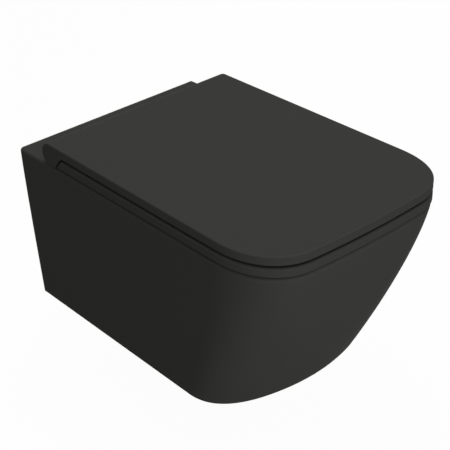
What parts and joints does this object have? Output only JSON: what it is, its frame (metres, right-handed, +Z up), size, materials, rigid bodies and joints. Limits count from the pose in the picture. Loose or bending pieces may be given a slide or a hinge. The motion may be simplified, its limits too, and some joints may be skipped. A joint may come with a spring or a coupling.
{
  "type": "wall hung toilet",
  "caption": "Wall hung toilet: tapering ceramic pan with bowl, trapway and rear connections, a hinged seat and a lid with a rolled rear end.",
  "frame": {"origin": "midway between the two wall fixing holes, on the wall plane", "axes": "+Z up, +Y into the wall along the fixing rods, the front faces -Y, +X to the right of somebody who faces the toilet"},
  "size_m": [0.3676, 0.541, 0.3014],
  "materials": {
    "pan_glaze": "matte black glaze",
    "seat_plastic": "matte black",
    "buffer_rubber": "matte",
    "seal_rubber": "matte",
    "sleeve_plastic": "natural polyamide",
    "bush_plastic": "smooth acetal",
    "steel": "brushed stainless",
    "brass": "turned"
  },
  "bodies": {
    "pan": {"pan_shell": "pan_glaze", "pan_bowl": "pan_glaze", "pan_trapway": "pan_glaze", "pan_flush_channel": "pan_glaze", "inlet_seal": "seal_rubber", "fixing_sleeves": "sleeve_plastic", "fixing_washers": "steel", "fixing_nuts": "steel", "hinge_base_left": "steel", "hinge_base_right": "steel", "hinge_gaskets": "seal_rubber", "hinge_plugs": "seal_rubber", "hinge_plug_nuts": "brass", "hinge_bolts": "steel", "hinge_grub_screws": "steel", "hinge_pin_left": "steel", "hinge_pin_right": "steel"},
    "seat": {"seat_ring": "seat_plastic", "seat_bushes": "bush_plastic", "seat_buffers": "buffer_rubber", "seat_damper": "bush_plastic"},
    "lid": {"lid_shell": "seat_plastic", "lid_bushes": "bush_plastic", "lid_buffers": "buffer_rubber", "lid_damper": "bush_plastic"}
  },
  "joints": [
    {"name": "seat_hinge", "type": "hinge", "parent": "pan", "child": "seat", "pos_m": [0, -0.075, 0.102], "axis": [-1, 0, 0], "range_deg": [0, 91.5]},
    {"name": "lid_hinge", "type": "hinge", "parent": "seat", "child": "lid", "pos_m": [0, -0.075, 0.102], "axis": [-1, 0, 0], "range_deg": [0, 94]}
  ]
}
